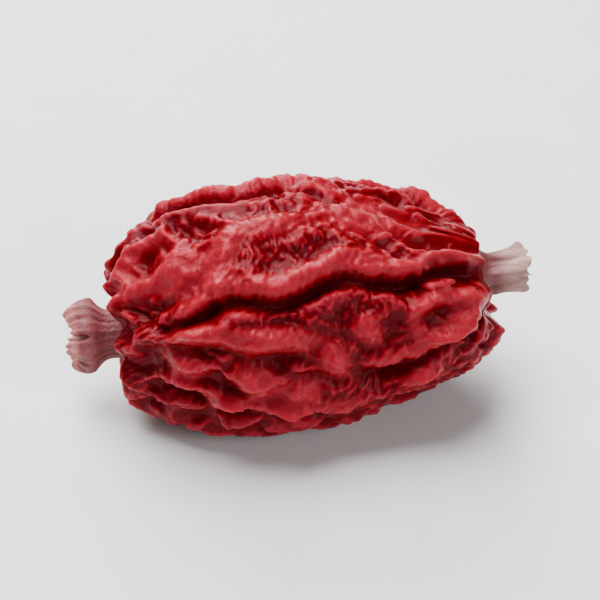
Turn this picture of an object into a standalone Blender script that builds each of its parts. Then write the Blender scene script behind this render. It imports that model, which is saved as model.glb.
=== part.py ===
"""A dried barberry lying on its side: the wrinkled berry, the stub of its stem and the ring of its stigma.

Metres, +Z up. +X runs from the blossom end to the stem end and -Y faces the viewer. The origin is the middle
of the small flat spot that the berry rests on.
"""

import math
from collections import namedtuple

import bpy
import numpy as np

MM = 0.001

# The plump form that the berry shrank from: a barrel with blunt ends, lying along X.
BODY_LENGTH = 7.8 * MM
BODY_WIDTH = 5.0 * MM
BODY_HEIGHT = 4.7 * MM
BARREL_POWER = 2.45
STEM_END_TAPER = 0.05
AXIS_SAG = 0.12 * MM

# Sides that fell in as the flesh shrank. Angles go round X from the top towards the front, in degrees, and
# lean tips a side towards the stem end. Depth is how far the side fell in.
Side = namedtuple("Side", "angle lean depth")
SHRUNK_SIDES = (
    Side(-6, 20, 0.42 * MM),
    Side(22, -27, 0.34 * MM),
    Side(80, 4, 0.32 * MM),
    Side(96, -30, 0.42 * MM),
    Side(-72, -8, 0.46 * MM),
    Side(-108, 24, 0.40 * MM),
    Side(132, 22, 0.30 * MM),
    Side(-140, -22, 0.30 * MM),
)
SIDE_FALL = 1.06
SIDE_EDGE = 0.07 * MM

# Long creases, each with a raised lip along its upper side.
Crease = namedtuple("Crease", "x_from x_to angle_from angle_to depth")
CREASES = (
    Crease(-2.9 * MM, 3.7 * MM, 52, 34, 0.30 * MM),
    Crease(-3.4 * MM, 1.2 * MM, -26, -14, 0.22 * MM),
    Crease(-3.4 * MM, 1.4 * MM, 106, 118, 0.26 * MM),
    Crease(0.6 * MM, 3.6 * MM, 96, 74, 0.20 * MM),
    Crease(-1.9 * MM, 3.5 * MM, -62, -38, 0.30 * MM),
    Crease(-3.5 * MM, 1.5 * MM, -104, -128, 0.28 * MM),
)
CREASE_WIDTH = 0.15 * MM
CREASE_FADE = 0.9 * MM
CREASE_SWAY = 0.12 * MM
CREASE_SWAY_LENGTH = 2.3 * MM
LIP_OFFSET = 0.36 * MM
LIP_WIDTH = 0.25 * MM
LIP_SHARE = 0.62

# Rounded knobs and loops of skin that stand out among the wrinkles. Turn tips them from the berry's length.
Knob = namedtuple("Knob", "x angle half_length half_width turn height")
KNOBS = (
    Knob(-2.6 * MM, 22, 0.44 * MM, 0.40 * MM, 0, 0.32 * MM),
    Knob(-1.7 * MM, 19, 0.28 * MM, 0.46 * MM, 35, 0.27 * MM),
    Knob(-0.75 * MM, 9, 0.55 * MM, 0.28 * MM, 0, 0.18 * MM),
    Knob(-2.35 * MM, 60, 0.40 * MM, 0.26 * MM, -10, 0.27 * MM),
    Knob(-0.9 * MM, 66, 0.90 * MM, 0.26 * MM, 9, 0.29 * MM),
    Knob(-2.6 * MM, 82, 0.40 * MM, 0.30 * MM, 0, 0.30 * MM),
    Knob(-1.2 * MM, 86, 0.38 * MM, 0.30 * MM, 14, 0.31 * MM),
    Knob(-0.3 * MM, 94, 0.36 * MM, 0.26 * MM, 0, 0.27 * MM),
    Knob(0.4 * MM, 81, 0.25 * MM, 0.36 * MM, -20, 0.26 * MM),
    Knob(1.05 * MM, 66, 0.25 * MM, 0.34 * MM, -30, 0.24 * MM),
    Knob(2.1 * MM, 96, 0.40 * MM, 0.26 * MM, -8, 0.26 * MM),
    Knob(1.2 * MM, -4, 1.20 * MM, 0.72 * MM, -12, 0.15 * MM),
)
LOOPS = (
    Knob(2.45 * MM, 61, 0.66 * MM, 0.40 * MM, -8, 0.24 * MM),
    Knob(-3.0 * MM, 8, 0.60 * MM, 0.42 * MM, 160, 0.16 * MM),
)
KNOB_CALM = 0.7
KNOB_REACH = 1.2
LOOP_WALL = 0.40
LOOP_OPEN = 0.8

# Wrinkles, made of short wave patches that blend into ridges. The long ones run along the berry, branch and
# end. The cross ones, turned against them, link them into loops and dimples where they are strong.
Ripples = namedtuple("Ripples", "seed spacing patches reach turn")
LONG_RIPPLES = Ripples(11, 0.76 * MM, 330, 0.66 * MM, 0.0)
CROSS_RIPPLES = Ripples(5, 0.92 * MM, 300, 0.66 * MM, 78.0)
WRINKLE_DEPTH = 0.32 * MM
CREST_POWER = 1.2
CREST_MEAN = 0.47
CREST_FAINT = 0.25
PATCH_JITTER = 16.0

# What varies over the berry, as slow waves through it: how far the wrinkles swirl, how strongly they are
# linked, and where they are calm.
SWIRL_ANGLE = 42.0
SWIRL_LENGTH = 2.1 * MM
SWIRL_PHASE = 0.7
LINK_SHARE = 0.9
LINK_LENGTH = 2.0 * MM
LINK_PHASE = 4.4
CALM_SHARE = 0.5
CALM_LENGTH = 1.9 * MM
CALM_PHASE = 2.1

# Seats at the two ends, where the skin is drawn in round the stigma and the stem. Rise is how far the seat's
# middle lies above the body's. The wrinkles die out from one distance of that middle to another.
Seat = namedtuple("Seat", "floor rim depth puckers pucker_depth rise")
STIGMA_SEAT = Seat(0.70 * MM, 1.42 * MM, 0.26 * MM, 11, 0.09 * MM, -0.28 * MM)
STEM_SEAT = Seat(0.66 * MM, 1.22 * MM, 0.36 * MM, 9, 0.09 * MM, 0.54 * MM)
ENDS_FROM = 0.78 * MM
ENDS_TO = 1.2 * MM
PUCKER_START = 1.25
PUCKER_STOP = 1.3
PUCKER_UNEVEN = 1.3
SEAT_GAP = 0.04 * MM

# The stigma: a ring with a pit in it, on a short neck.
STIGMA_NECK_RADIUS = 0.50 * MM
STIGMA_RADIUS = 0.80 * MM
STIGMA_HEIGHT = 0.98 * MM
STIGMA_CREST_RADIUS = 0.58 * MM
PIT_RADIUS = 0.28 * MM
PIT_DEPTH = 0.42 * MM
STIGMA_LOBES = 9
STIGMA_LOBE_DEPTH = 0.03

# The stem stub: a shrivelled stalk with a wider foot, snapped off at a slant.
STUB_FOOT_RADIUS = 0.58 * MM
STUB_RADIUS = 0.46 * MM
STUB_TIP_RADIUS = 0.55 * MM
STUB_LENGTH = 0.80 * MM
STUB_FOOT_LENGTH = 0.34 * MM
STUB_LEAN = 0.15 * MM
STUB_FLUTES = 5
STUB_FLUTE_DEPTH = 0.10
STUB_TWIST = 2.2
STUB_SLANT = 0.30

# The flat spot: how much of the plump form's underside is pressed flat, and where the wrinkles die out.
PRESSED_DEPTH = 0.17 * MM
PRESSED_HALF_LENGTH = 1.5 * MM
PRESSED_HALF_WIDTH = 0.9 * MM

# How finely each piece is divided, and the plump form's outline and surface where they are only measured.
BODY_RINGS = 56
BODY_SEGMENTS = 90
STIGMA_SEGMENTS = 42
STUB_RINGS = 12
STUB_SEGMENTS = 24
OUTLINE_STEPS = 4001
MEASURED_RINGS = 120
MEASURED_SEGMENTS = 160

BERRY_RED = (0.30, 0.008, 0.016, 1.0)
STUB_BROWN = (0.24, 0.15, 0.08, 1.0)
STIGMA_TAN = (0.40, 0.22, 0.14, 1.0)

HALF = np.array([BODY_LENGTH, BODY_WIDTH, BODY_HEIGHT]) / 2
REST_HEIGHT = -HALF[2] + PRESSED_DEPTH


def smooth(value, low, high):
    """0 below low, 1 above high, and an even slope between them."""
    share = np.clip((value - low) / (high - low), 0.0, 1.0)
    return share * share * (3.0 - 2.0 * share)


def swell(points, length, phase):
    """A slow, uneven wave through space, from about -1 to 1, for what varies over the berry."""
    p = points / length
    first = np.sin(1.9 * p[..., 0] + 1.3 * p[..., 1] + phase)
    second = np.sin(2.3 * p[..., 1] - 1.1 * p[..., 2] + 1.7 * phase)
    third = np.sin(2.1 * p[..., 2] + 1.5 * p[..., 0] + 2.9 * phase)
    return (first + second + third) / 2.2


def barrel(along, around):
    """Points of the plump form. along is 0 at the blossom end and pi at the stem end."""
    along, around = np.broadcast_arrays(along, around)
    power = 2.0 / BARREL_POWER
    cosine, sine = np.cos(along), np.clip(np.sin(along), 0.0, 1.0)
    x = -np.sign(cosine) * np.abs(cosine) ** power
    radius = sine**power * (1.0 - STEM_END_TAPER * x)
    return np.stack([x, -radius * np.sin(around), radius * np.cos(around)], axis=-1) * HALF


def even_rings(count):
    """Values of along that divide the barrel's outline into equal lengths, both ends included."""
    fine = np.linspace(0.0, math.pi, OUTLINE_STEPS)
    outline = barrel(fine, np.zeros_like(fine))
    steps = np.linalg.norm(np.diff(outline, axis=0), axis=1)
    walked = np.concatenate([[0.0], np.cumsum(steps)])
    return np.interp(np.linspace(0.0, walked[-1], count), walked, fine)


def barrel_normals(points):
    """Outward unit normals of the barrel."""
    unit = points / HALF
    across = np.maximum(np.hypot(unit[..., 1], unit[..., 2]), 1e-9)
    x_part = np.sign(unit[..., 0]) * np.abs(unit[..., 0]) ** (BARREL_POWER - 1)
    yz_scale = across ** (BARREL_POWER - 2)
    normals = np.stack([x_part, yz_scale * unit[..., 1], yz_scale * unit[..., 2]], axis=-1) / HALF
    return normals / np.linalg.norm(normals, axis=-1, keepdims=True)


def wave_patches(ripples):
    """Centres, wave vectors and phases of a set's wave patches, spread evenly over the barrel."""
    random = np.random.default_rng(ripples.seed)
    shares = np.linspace(0.0, 1.0, OUTLINE_STEPS)
    along = np.interp(random.random(ripples.patches), shares, even_rings(OUTLINE_STEPS))
    around = random.random(ripples.patches) * 2 * math.pi
    centres = barrel(along, around)
    normals = barrel_normals(centres)
    round_axis = np.cross(normals, [1.0, 0.0, 0.0])
    round_axis /= np.linalg.norm(round_axis, axis=-1, keepdims=True)
    lengthwise = np.cross(round_axis, normals)
    jitter = random.normal(0.0, PATCH_JITTER, ripples.patches)
    swirl = SWIRL_ANGLE * swell(centres, SWIRL_LENGTH, SWIRL_PHASE)
    turn = np.radians(ripples.turn + swirl + jitter)[:, None]
    waves = (np.cos(turn) * round_axis + np.sin(turn) * lengthwise) / ripples.spacing
    phases = random.random(ripples.patches) * 2 * math.pi
    return centres, waves, phases


def crests(points, ripples):
    """How high a set's ridges stand at points of the barrel: 1 on a crest, 0 in a furrow."""
    total = np.zeros(points.shape[:-1], complex)
    for centre, wave, phase in zip(*wave_patches(ripples)):
        offset = points - centre
        weight = np.exp(-((offset / ripples.reach) ** 2).sum(axis=-1))
        total += weight * np.exp(1j * (2 * math.pi * (offset @ wave) + phase))
    strength = np.abs(total)
    crest = ((1.0 + np.cos(np.angle(total))) / 2.0) ** CREST_POWER
    sure = strength / (strength + CREST_FAINT)
    return CREST_MEAN + sure * (crest - CREST_MEAN)


def wrinkles(points):
    """Height of the wrinkles at points of the barrel: crests that branch, loop and close on dimples."""
    linked = LINK_SHARE * smooth(swell(points, LINK_LENGTH, LINK_PHASE), -0.6, 0.5)
    furrow = (1.0 - crests(points, LONG_RIPPLES)) * (1.0 - linked * crests(points, CROSS_RIPPLES))
    calm = 1.0 - CALM_SHARE * smooth(swell(points, CALM_LENGTH, CALM_PHASE), 0.0, 0.9)
    return WRINKLE_DEPTH * calm * (1.0 - furrow - CREST_MEAN)


def long_creases(points, around):
    """Height of the long creases and of their lips at points of the barrel."""
    height = np.zeros(points.shape[:-1])
    radius = np.hypot(points[..., 1], points[..., 2])
    x = points[..., 0]
    for number, crease in enumerate(CREASES):
        share = (x - crease.x_from) / (crease.x_to - crease.x_from)
        path = np.radians(crease.angle_from + (crease.angle_to - crease.angle_from) * share)
        away = (around - path + math.pi) % (2 * math.pi) - math.pi
        sway = CREASE_SWAY * np.sin(2 * math.pi * x / CREASE_SWAY_LENGTH + 2.1 * number)
        across = away * radius + sway
        starts = smooth(x, crease.x_from, crease.x_from + CREASE_FADE)
        ends = 1.0 - smooth(x, crease.x_to - CREASE_FADE, crease.x_to)
        groove = np.exp(-((across / CREASE_WIDTH) ** 2))
        lip = np.exp(-(((across + LIP_OFFSET) / LIP_WIDTH) ** 2))
        height += crease.depth * starts * ends * (LIP_SHARE * lip - groove)
    return height


def from_knob(points, around, knob):
    """Where points lie from a knob's middle, along and across it, as shares of its half sizes."""
    radius = np.hypot(points[..., 1], points[..., 2])
    across = ((around - math.radians(knob.angle) + math.pi) % (2 * math.pi) - math.pi) * radius
    along = points[..., 0] - knob.x
    turn = math.radians(knob.turn)
    lengthwise = (math.cos(turn) * along + math.sin(turn) * across) / knob.half_length
    crosswise = (math.cos(turn) * across - math.sin(turn) * along) / knob.half_width
    return lengthwise, crosswise


def knobs_and_loops(points, around):
    """Height of the knobs and loops at points of the barrel, and how much of the wrinkles is left there."""
    height, left = np.zeros(points.shape[:-1]), np.ones(points.shape[:-1])
    for knob in KNOBS + LOOPS:
        lengthwise, crosswise = from_knob(points, around, knob)
        distance = np.hypot(lengthwise, crosswise)
        if knob in LOOPS:
            closed = smooth(lengthwise, -LOOP_OPEN - 0.5, -LOOP_OPEN + 0.5)
            height += knob.height * closed * np.exp(-(((distance - 1.0) / LOOP_WALL) ** 2))
        else:
            height += knob.height * np.exp(-(distance**2))
        left *= 1.0 - KNOB_CALM * np.exp(-((distance / KNOB_REACH) ** 4))
    return height, left


def side_normal(side):
    """The direction that a shrunk side faces."""
    angle, lean = math.radians(side.angle), math.radians(side.lean)
    return np.array(
        [math.sin(lean), -math.cos(lean) * math.sin(angle), math.cos(lean) * math.cos(angle)]
    )


def shrink_sides(points):
    """Moves what lies outside each shrunk side's plane inwards, past the plane, with a soft edge."""
    around = np.linspace(0.0, 2 * math.pi, MEASURED_SEGMENTS)
    plump = barrel(even_rings(MEASURED_RINGS)[:, None], around[None, :])
    for side in SHRUNK_SIDES:
        normal = side_normal(side)
        plane = (plump @ normal).max() - side.depth
        beyond = (points @ normal - plane) / SIDE_EDGE
        excess = SIDE_EDGE * np.logaddexp(0.0, beyond)
        points = points - SIDE_FALL * excess[..., None] * normal
    return points


def sink_seat(points, seat, end):
    """Draws the skin in at one end, to a level floor, with puckers running out of it."""
    height = end * points[..., 0]
    off_axis = np.hypot(points[..., 1], points[..., 2] - seat.rise)
    around = np.arctan2(-points[..., 1], points[..., 2] - seat.rise)
    here = height > 0
    sunk = 1.0 - smooth(off_axis, seat.floor, seat.rim)
    starts = smooth(off_axis, seat.floor, seat.floor * PUCKER_START)
    stops = 1.0 - smooth(off_axis, seat.rim, seat.rim * PUCKER_STOP)
    wave = np.cos(seat.puckers * around + PUCKER_UNEVEN * np.sin(2 * around))
    pucker = seat.pucker_depth * starts * stops * wave
    level = HALF[0] - seat.depth
    drawn = height + (level - height) * sunk + pucker
    moved = points.copy()
    moved[..., 0] = np.where(here, end * drawn, points[..., 0])
    return moved


def pressed(points):
    """How much a point belongs to the underside that lies on the surface, from 0 to 1."""
    off_centre = np.hypot(points[..., 0] / PRESSED_HALF_LENGTH, points[..., 1] / PRESSED_HALF_WIDTH)
    return (1.0 - smooth(off_centre, 0.75, 1.15)) * (points[..., 2] < 0)


def berry_points(along, around):
    """Points of the dried berry's skin, with the flat spot at height 0."""
    plump = barrel(along, around)
    rise = np.where(plump[..., 0] > 0, STEM_SEAT.rise, STIGMA_SEAT.rise)
    ends = smooth(np.hypot(plump[..., 1], plump[..., 2] - rise), ENDS_FROM, ENDS_TO)
    knobs, left = knobs_and_loops(plump, around)
    relief = (left * wrinkles(plump) + knobs + long_creases(plump, around)) * ends * (1.0 - pressed(plump))
    points = shrink_sides(plump) + relief[..., None] * barrel_normals(plump)
    points = sink_seat(points, STIGMA_SEAT, -1)
    points = sink_seat(points, STEM_SEAT, 1)
    points[..., 2] -= AXIS_SAG * (points[..., 0] / HALF[0]) ** 2
    points[..., 2] = np.maximum(points[..., 2] - REST_HEIGHT, 0.0)
    return points


def seat_height(seat):
    """The height of a seat's middle above the surface."""
    return seat.rise - AXIS_SAG - REST_HEIGHT


def principled(name, colour, roughness):
    """A plain Principled material."""
    material = bpy.data.materials.new(name)
    material.use_nodes = True
    shader = material.node_tree.nodes["Principled BSDF"]
    shader.inputs["Base Color"].default_value = colour
    shader.inputs["Roughness"].default_value = roughness
    shader.inputs["Metallic"].default_value = 0.0
    material.diffuse_color = colour
    return material


def closed_rings(name, rings, start, end, material):
    """An object whose skin joins rings of points, closed at each end on one point."""
    count, segments = rings.shape[:2]
    vertices = [tuple(start)] + [tuple(p) for ring in rings for p in ring] + [tuple(end)]
    last = len(vertices) - 1

    def index(ring, segment):
        return 1 + ring * segments + segment % segments

    faces = []
    for segment in range(segments):
        faces.append((0, index(0, segment + 1), index(0, segment)))
        for ring in range(count - 1):
            near = (index(ring, segment), index(ring, segment + 1))
            far = (index(ring + 1, segment + 1), index(ring + 1, segment))
            faces.append(near + far)
        faces.append((last, index(count - 1, segment), index(count - 1, segment + 1)))
    mesh = bpy.data.meshes.new(name)
    mesh.from_pydata(vertices, [], faces)
    mesh.shade_smooth()
    mesh.materials.append(material)
    made = bpy.data.objects.new(name, mesh)
    bpy.context.scene.collection.objects.link(made)
    return made


def make_berry():
    """The berry itself, skin and flesh in one solid."""
    rings = even_rings(BODY_RINGS)
    around = np.linspace(0.0, 2 * math.pi, BODY_SEGMENTS, endpoint=False)
    points = berry_points(rings[1:-1, None], around[None, :])
    poles = berry_points(np.array([0.0, math.pi]), np.zeros(2))
    return closed_rings("berry", points, poles[0], poles[1], principled("berry_skin", BERRY_RED, 0.35))


def make_stigma():
    """The ring at the blossom end, standing in its seat, with the pit in its middle."""
    around = np.linspace(0.0, 2 * math.pi, STIGMA_SEGMENTS, endpoint=False)
    base = HALF[0] - STIGMA_SEAT.depth + SEAT_GAP
    crest = base + STIGMA_HEIGHT
    outline = (
        (0.6 * STIGMA_NECK_RADIUS, base),
        (1.06 * STIGMA_NECK_RADIUS, base),
        (STIGMA_NECK_RADIUS, base + 0.16 * STIGMA_HEIGHT),
        (1.05 * STIGMA_NECK_RADIUS, base + 0.36 * STIGMA_HEIGHT),
        (0.88 * STIGMA_RADIUS, base + 0.54 * STIGMA_HEIGHT),
        (STIGMA_RADIUS, base + 0.72 * STIGMA_HEIGHT),
        (0.94 * STIGMA_RADIUS, base + 0.89 * STIGMA_HEIGHT),
        (0.5 * (STIGMA_RADIUS + STIGMA_CREST_RADIUS), crest - 0.03 * STIGMA_HEIGHT),
        (STIGMA_CREST_RADIUS, crest),
        (0.5 * (STIGMA_CREST_RADIUS + PIT_RADIUS), crest - 0.22 * PIT_DEPTH),
        (PIT_RADIUS, crest - 0.7 * PIT_DEPTH),
        (0.55 * PIT_RADIUS, crest - PIT_DEPTH),
    )
    rings = []
    for radius, height in outline:
        lobed = radius * (1.0 + STIGMA_LOBE_DEPTH * (np.cos(STIGMA_LOBES * around) - 1.0))
        level = np.full_like(around, -height)
        rings.append(np.stack([level, -lobed * np.sin(around), lobed * np.cos(around)], axis=-1))
    middle = seat_height(STIGMA_SEAT)
    rings = np.array(rings)
    rings[..., 2] += middle
    start = (-base, 0.0, middle)
    end = (-(crest - PIT_DEPTH), 0.0, middle)
    return closed_rings("stigma_ring", rings[:, ::-1], start, end, principled("stigma", STIGMA_TAN, 0.6))


def make_stub():
    """The stem stub, standing in its seat at the stem end and leaning a little upwards."""
    around = np.linspace(0.0, 2 * math.pi, STUB_SEGMENTS, endpoint=False)
    base = HALF[0] - STEM_SEAT.depth + SEAT_GAP
    middle = seat_height(STEM_SEAT)
    share = np.linspace(0.0, 1.0, STUB_RINGS)[:, None]
    foot = (STUB_FOOT_RADIUS - STUB_RADIUS) * (1.0 - smooth(share * STUB_LENGTH, 0.0, STUB_FOOT_LENGTH))
    tip = (STUB_TIP_RADIUS - STUB_RADIUS) * smooth(share, 0.62, 1.0)
    flutes = np.cos(STUB_FLUTES * around + STUB_TWIST * share) - 1.0
    radius = (STUB_RADIUS + foot + tip) * (1.0 + STUB_FLUTE_DEPTH * smooth(share, 0.0, 0.3) * flutes)
    slant = STUB_SLANT * smooth(share, 0.5, 1.0) * radius * np.cos(around - 0.8)
    x = base + share * STUB_LENGTH + slant
    y = -radius * np.sin(around) - 0.4 * STUB_LEAN * share**2
    z = radius * np.cos(around) + STUB_LEAN * share**2 + middle
    rings = np.stack([x + 0.0 * around, y, z], axis=-1)
    start = (base, 0.0, middle)
    end = rings[-1].mean(axis=0) - np.array([0.05 * MM, 0.0, 0.0])
    return closed_rings("stem_stub", rings, start, end, principled("stem", STUB_BROWN, 0.7))


def main():
    for old in list(bpy.data.objects):
        bpy.data.objects.remove(old)
    make_berry()
    make_stigma()
    make_stub()


main()
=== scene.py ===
"""A dried barberry, dressed for a close look: its wrinkled skin, the ring of its stigma and its stem stub.

Metres, +Z up. +X runs from the blossom end to the stem end and -Y faces the viewer. The origin is the middle
of the small flat spot that the berry rests on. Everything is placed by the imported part, which is the frame.
"""

import math
from collections import namedtuple

import bpy
import numpy as np
from bpy.props import FloatProperty, FloatVectorProperty, IntProperty, PointerProperty
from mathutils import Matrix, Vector


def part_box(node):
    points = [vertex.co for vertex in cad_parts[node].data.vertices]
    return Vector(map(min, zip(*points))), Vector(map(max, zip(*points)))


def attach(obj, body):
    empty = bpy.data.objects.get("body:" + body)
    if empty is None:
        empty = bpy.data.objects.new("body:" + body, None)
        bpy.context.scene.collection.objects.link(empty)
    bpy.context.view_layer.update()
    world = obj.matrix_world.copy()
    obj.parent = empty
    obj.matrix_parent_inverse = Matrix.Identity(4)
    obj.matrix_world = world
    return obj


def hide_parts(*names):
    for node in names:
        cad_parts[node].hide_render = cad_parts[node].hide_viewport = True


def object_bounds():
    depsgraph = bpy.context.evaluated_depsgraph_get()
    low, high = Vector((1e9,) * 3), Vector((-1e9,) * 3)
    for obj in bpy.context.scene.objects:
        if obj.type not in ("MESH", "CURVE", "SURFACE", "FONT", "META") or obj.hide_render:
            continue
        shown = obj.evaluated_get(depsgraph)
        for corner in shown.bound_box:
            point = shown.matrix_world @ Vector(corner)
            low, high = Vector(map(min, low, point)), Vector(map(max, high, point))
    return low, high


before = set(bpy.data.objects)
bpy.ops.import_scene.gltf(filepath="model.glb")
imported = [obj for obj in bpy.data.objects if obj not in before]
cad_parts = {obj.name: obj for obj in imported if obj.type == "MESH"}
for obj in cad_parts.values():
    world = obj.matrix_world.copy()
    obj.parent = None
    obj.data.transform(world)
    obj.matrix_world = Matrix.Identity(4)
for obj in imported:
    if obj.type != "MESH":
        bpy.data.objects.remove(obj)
CAD_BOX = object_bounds()

bl_info = {
    "name": "Dried barberry",
    "version": (1, 0, 0),
    "blender": (4, 5, 0),
    "location": "View3D > Sidebar > Barberry",
    "description": "Models one dried barberry with its wrinkled skin, stigma and stem stub",
    "category": "Add Mesh",
}

MM = 0.001
TURN = 2 * math.pi

# Sides that fell in as the flesh shrank. Angles go round X from the top towards the front, in degrees, and
# lean tips a side towards the stem end. Depth is how far the side fell in.
Side = namedtuple("Side", "angle lean depth")
SHRUNK_SIDES = (
    Side(-6, 20, 0.42 * MM),
    Side(22, -27, 0.34 * MM),
    Side(80, 4, 0.32 * MM),
    Side(96, -30, 0.42 * MM),
    Side(-72, -8, 0.46 * MM),
    Side(-108, 24, 0.40 * MM),
    Side(132, 22, 0.30 * MM),
    Side(-140, -22, 0.30 * MM),
)
SIDE_FALL = 1.06
SIDE_EDGE = 0.07 * MM

# Long creases, each with a raised lip along its upper side.
Crease = namedtuple("Crease", "x_from x_to angle_from angle_to depth")
CREASES = (
    Crease(-2.9 * MM, 3.7 * MM, 52, 34, 0.30 * MM),
    Crease(-3.4 * MM, 1.2 * MM, -26, -14, 0.22 * MM),
    Crease(-3.4 * MM, 1.4 * MM, 106, 118, 0.26 * MM),
    Crease(0.6 * MM, 3.6 * MM, 96, 74, 0.20 * MM),
    Crease(-1.9 * MM, 3.5 * MM, -62, -38, 0.30 * MM),
    Crease(-3.5 * MM, 1.5 * MM, -104, -128, 0.28 * MM),
)
CREASE_WIDTH = 0.15 * MM
CREASE_FADE = 0.9 * MM
CREASE_SWAY = 0.12 * MM
CREASE_SWAY_LENGTH = 2.3 * MM
LIP_OFFSET = 0.36 * MM
LIP_WIDTH = 0.25 * MM
LIP_SHARE = 0.62

# Rounded knobs and loops of skin that stand out among the wrinkles. Turn tips them from the berry's length.
Knob = namedtuple("Knob", "x angle half_length half_width turn height")
KNOBS = (
    Knob(-2.6 * MM, 22, 0.44 * MM, 0.40 * MM, 0, 0.32 * MM),
    Knob(-1.7 * MM, 19, 0.28 * MM, 0.46 * MM, 35, 0.27 * MM),
    Knob(-0.75 * MM, 9, 0.55 * MM, 0.28 * MM, 0, 0.18 * MM),
    Knob(-2.35 * MM, 60, 0.40 * MM, 0.26 * MM, -10, 0.27 * MM),
    Knob(-0.9 * MM, 66, 0.90 * MM, 0.26 * MM, 9, 0.29 * MM),
    Knob(-2.6 * MM, 82, 0.40 * MM, 0.30 * MM, 0, 0.30 * MM),
    Knob(-1.2 * MM, 86, 0.38 * MM, 0.30 * MM, 14, 0.31 * MM),
    Knob(-0.3 * MM, 94, 0.36 * MM, 0.26 * MM, 0, 0.27 * MM),
    Knob(0.4 * MM, 81, 0.25 * MM, 0.36 * MM, -20, 0.26 * MM),
    Knob(1.05 * MM, 66, 0.25 * MM, 0.34 * MM, -30, 0.24 * MM),
    Knob(2.1 * MM, 96, 0.40 * MM, 0.26 * MM, -8, 0.26 * MM),
    Knob(1.2 * MM, -4, 1.20 * MM, 0.72 * MM, -12, 0.15 * MM),
)
LOOPS = (
    Knob(2.45 * MM, 61, 0.66 * MM, 0.40 * MM, -8, 0.24 * MM),
    Knob(-3.0 * MM, 8, 0.60 * MM, 0.42 * MM, 160, 0.16 * MM),
)
KNOB_CALM = 0.7
KNOB_REACH = 1.2
KNOB_FINE = 0.8
LOOP_WALL = 0.40
LOOP_OPEN = 0.8

# Wrinkles, made of short wave patches that blend into ridges. The long ones run along the berry, branch and
# end. The cross ones, turned against them, link them into loops and dimples where they are strong. The fine
# ones and the creping are the skin's own, between and over the others.
Ripples = namedtuple("Ripples", "seed spacing patches reach turn jitter")
LONG_RIPPLES = Ripples(11, 0.76 * MM, 330, 0.66 * MM, 0.0, 16.0)
CROSS_RIPPLES = Ripples(5, 0.92 * MM, 300, 0.66 * MM, 78.0, 16.0)
FINE_RIPPLES = Ripples(23, 0.34 * MM, 1500, 0.28 * MM, 24.0, 38.0)
CREPE_RIPPLES = Ripples(31, 0.17 * MM, 5200, 0.14 * MM, -50.0, 42.0)
CREST_POWER = 1.2
CREST_MEAN = 0.47
CREST_FAINT = 0.25
PATCH_EDGE = 3.0

# What varies over the berry, as slow waves through it.
SWIRL_ANGLE = 42.0
SWIRL_LENGTH = 2.1 * MM
SWIRL_PHASE = 0.7
LINK_SHARE = 0.9
LINK_LENGTH = 2.0 * MM
LINK_PHASE = 4.4
CALM_SHARE = 0.5
CALM_LENGTH = 1.9 * MM
CALM_PHASE = 2.1
FINE_LENGTH = 1.3 * MM
FINE_PHASE = 5.3

# Seats at the two ends, where the skin is drawn in round the stigma and the stem.
Seat = namedtuple("Seat", "floor rim depth puckers pucker_depth rise")
STIGMA_SEAT = Seat(0.70 * MM, 1.42 * MM, 0.26 * MM, 11, 0.09 * MM, -0.28 * MM)
STEM_SEAT = Seat(0.66 * MM, 1.22 * MM, 0.36 * MM, 9, 0.09 * MM, 0.54 * MM)
PUCKER_START = 1.25
PUCKER_STOP = 1.3
PUCKER_UNEVEN = 1.3

# The flat spot, and where the wrinkles die out towards it and towards the two ends.
PRESSED_DEPTH = 0.17 * MM
PRESSED_HALF_LENGTH = 1.5 * MM
PRESSED_HALF_WIDTH = 0.9 * MM
ENDS_FROM = 0.78 * MM
ENDS_TO = 1.2 * MM

# The plump form's outline and surface where they are only measured.
OUTLINE_STEPS = 4001
MEASURED_RINGS = 120
MEASURED_SEGMENTS = 160

# How many points apart a ridge is told from a furrow, for the broad relief and for the fine one.
BROAD_REACH = 5
FINE_REACH = 2

# The stigma's outline from its foot over the crest into the pit, as shares of its radius and its height.
STIGMA_OUTLINE = (
    (0.60, 0.00), (0.66, 0.02), (0.63, 0.10), (0.62, 0.22), (0.65, 0.36), (0.74, 0.46),
    (0.88, 0.54), (0.97, 0.63), (1.00, 0.72), (0.98, 0.82), (0.93, 0.90), (0.86, 0.96),
    (0.78, 1.00), (0.70, 1.00), (0.62, 0.97), (0.55, 0.93), (0.48, 0.86), (0.42, 0.78),
    (0.37, 0.68), (0.30, 0.60), (0.18, 0.56), (0.08, 0.55),
)
STIGMA_SEGMENTS = 144
STIGMA_RIBS = 24
STIGMA_RIB_HEIGHT = 0.035
STIGMA_NOTCHES = (0.9, 2.7, 4.4, 5.6)
STIGMA_NOTCH_WIDTH = 0.10
STIGMA_NOTCH_DEPTH = 0.26

# Waves round an outline. They make the stigma's crest uneven and the stem's broken rim ragged.
Wave = namedtuple("Wave", "count phase height")
STIGMA_UNEVEN = (Wave(2, 1.0, 0.06), Wave(5, 2.0, 0.05))
STEM_RAGGED = (Wave(4, 0.4, 1.0), Wave(9, 2.0, 0.7), Wave(17, 0.0, 0.5))

# The stem stub's broken tip, from its rim inwards: shares of its radius, and depths as shares of its length.
TIP_OUTLINE = ((0.90, 0.00), (0.76, 0.05), (0.58, 0.10), (0.38, 0.13), (0.18, 0.12))
STEM_SEGMENTS = 80
STEM_MINOR_FLUTES = 13
STEM_MINOR_DEPTH = 0.35
STEM_BARK_DEPTH = 0.02
STEM_TORN_DEPTH = 0.045

# How much deeper than their nodes the stigma and the stem go, because the real ones have grown on.
ROOT_DEPTH = 0.10 * MM

# One splinter of the stem's wood, and how each of its lengths narrows.
SPLINTER_SEED = 4
SPLINTER_RADIUS = 0.034 * MM
SPLINTER_LENGTH = 0.15 * MM
SPLINTER_TAPER = (0.92, 0.85, 0.72, 0.3)
SPLINTER_SIDES = 7
SPLINTER_ROOT = 0.86

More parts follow.
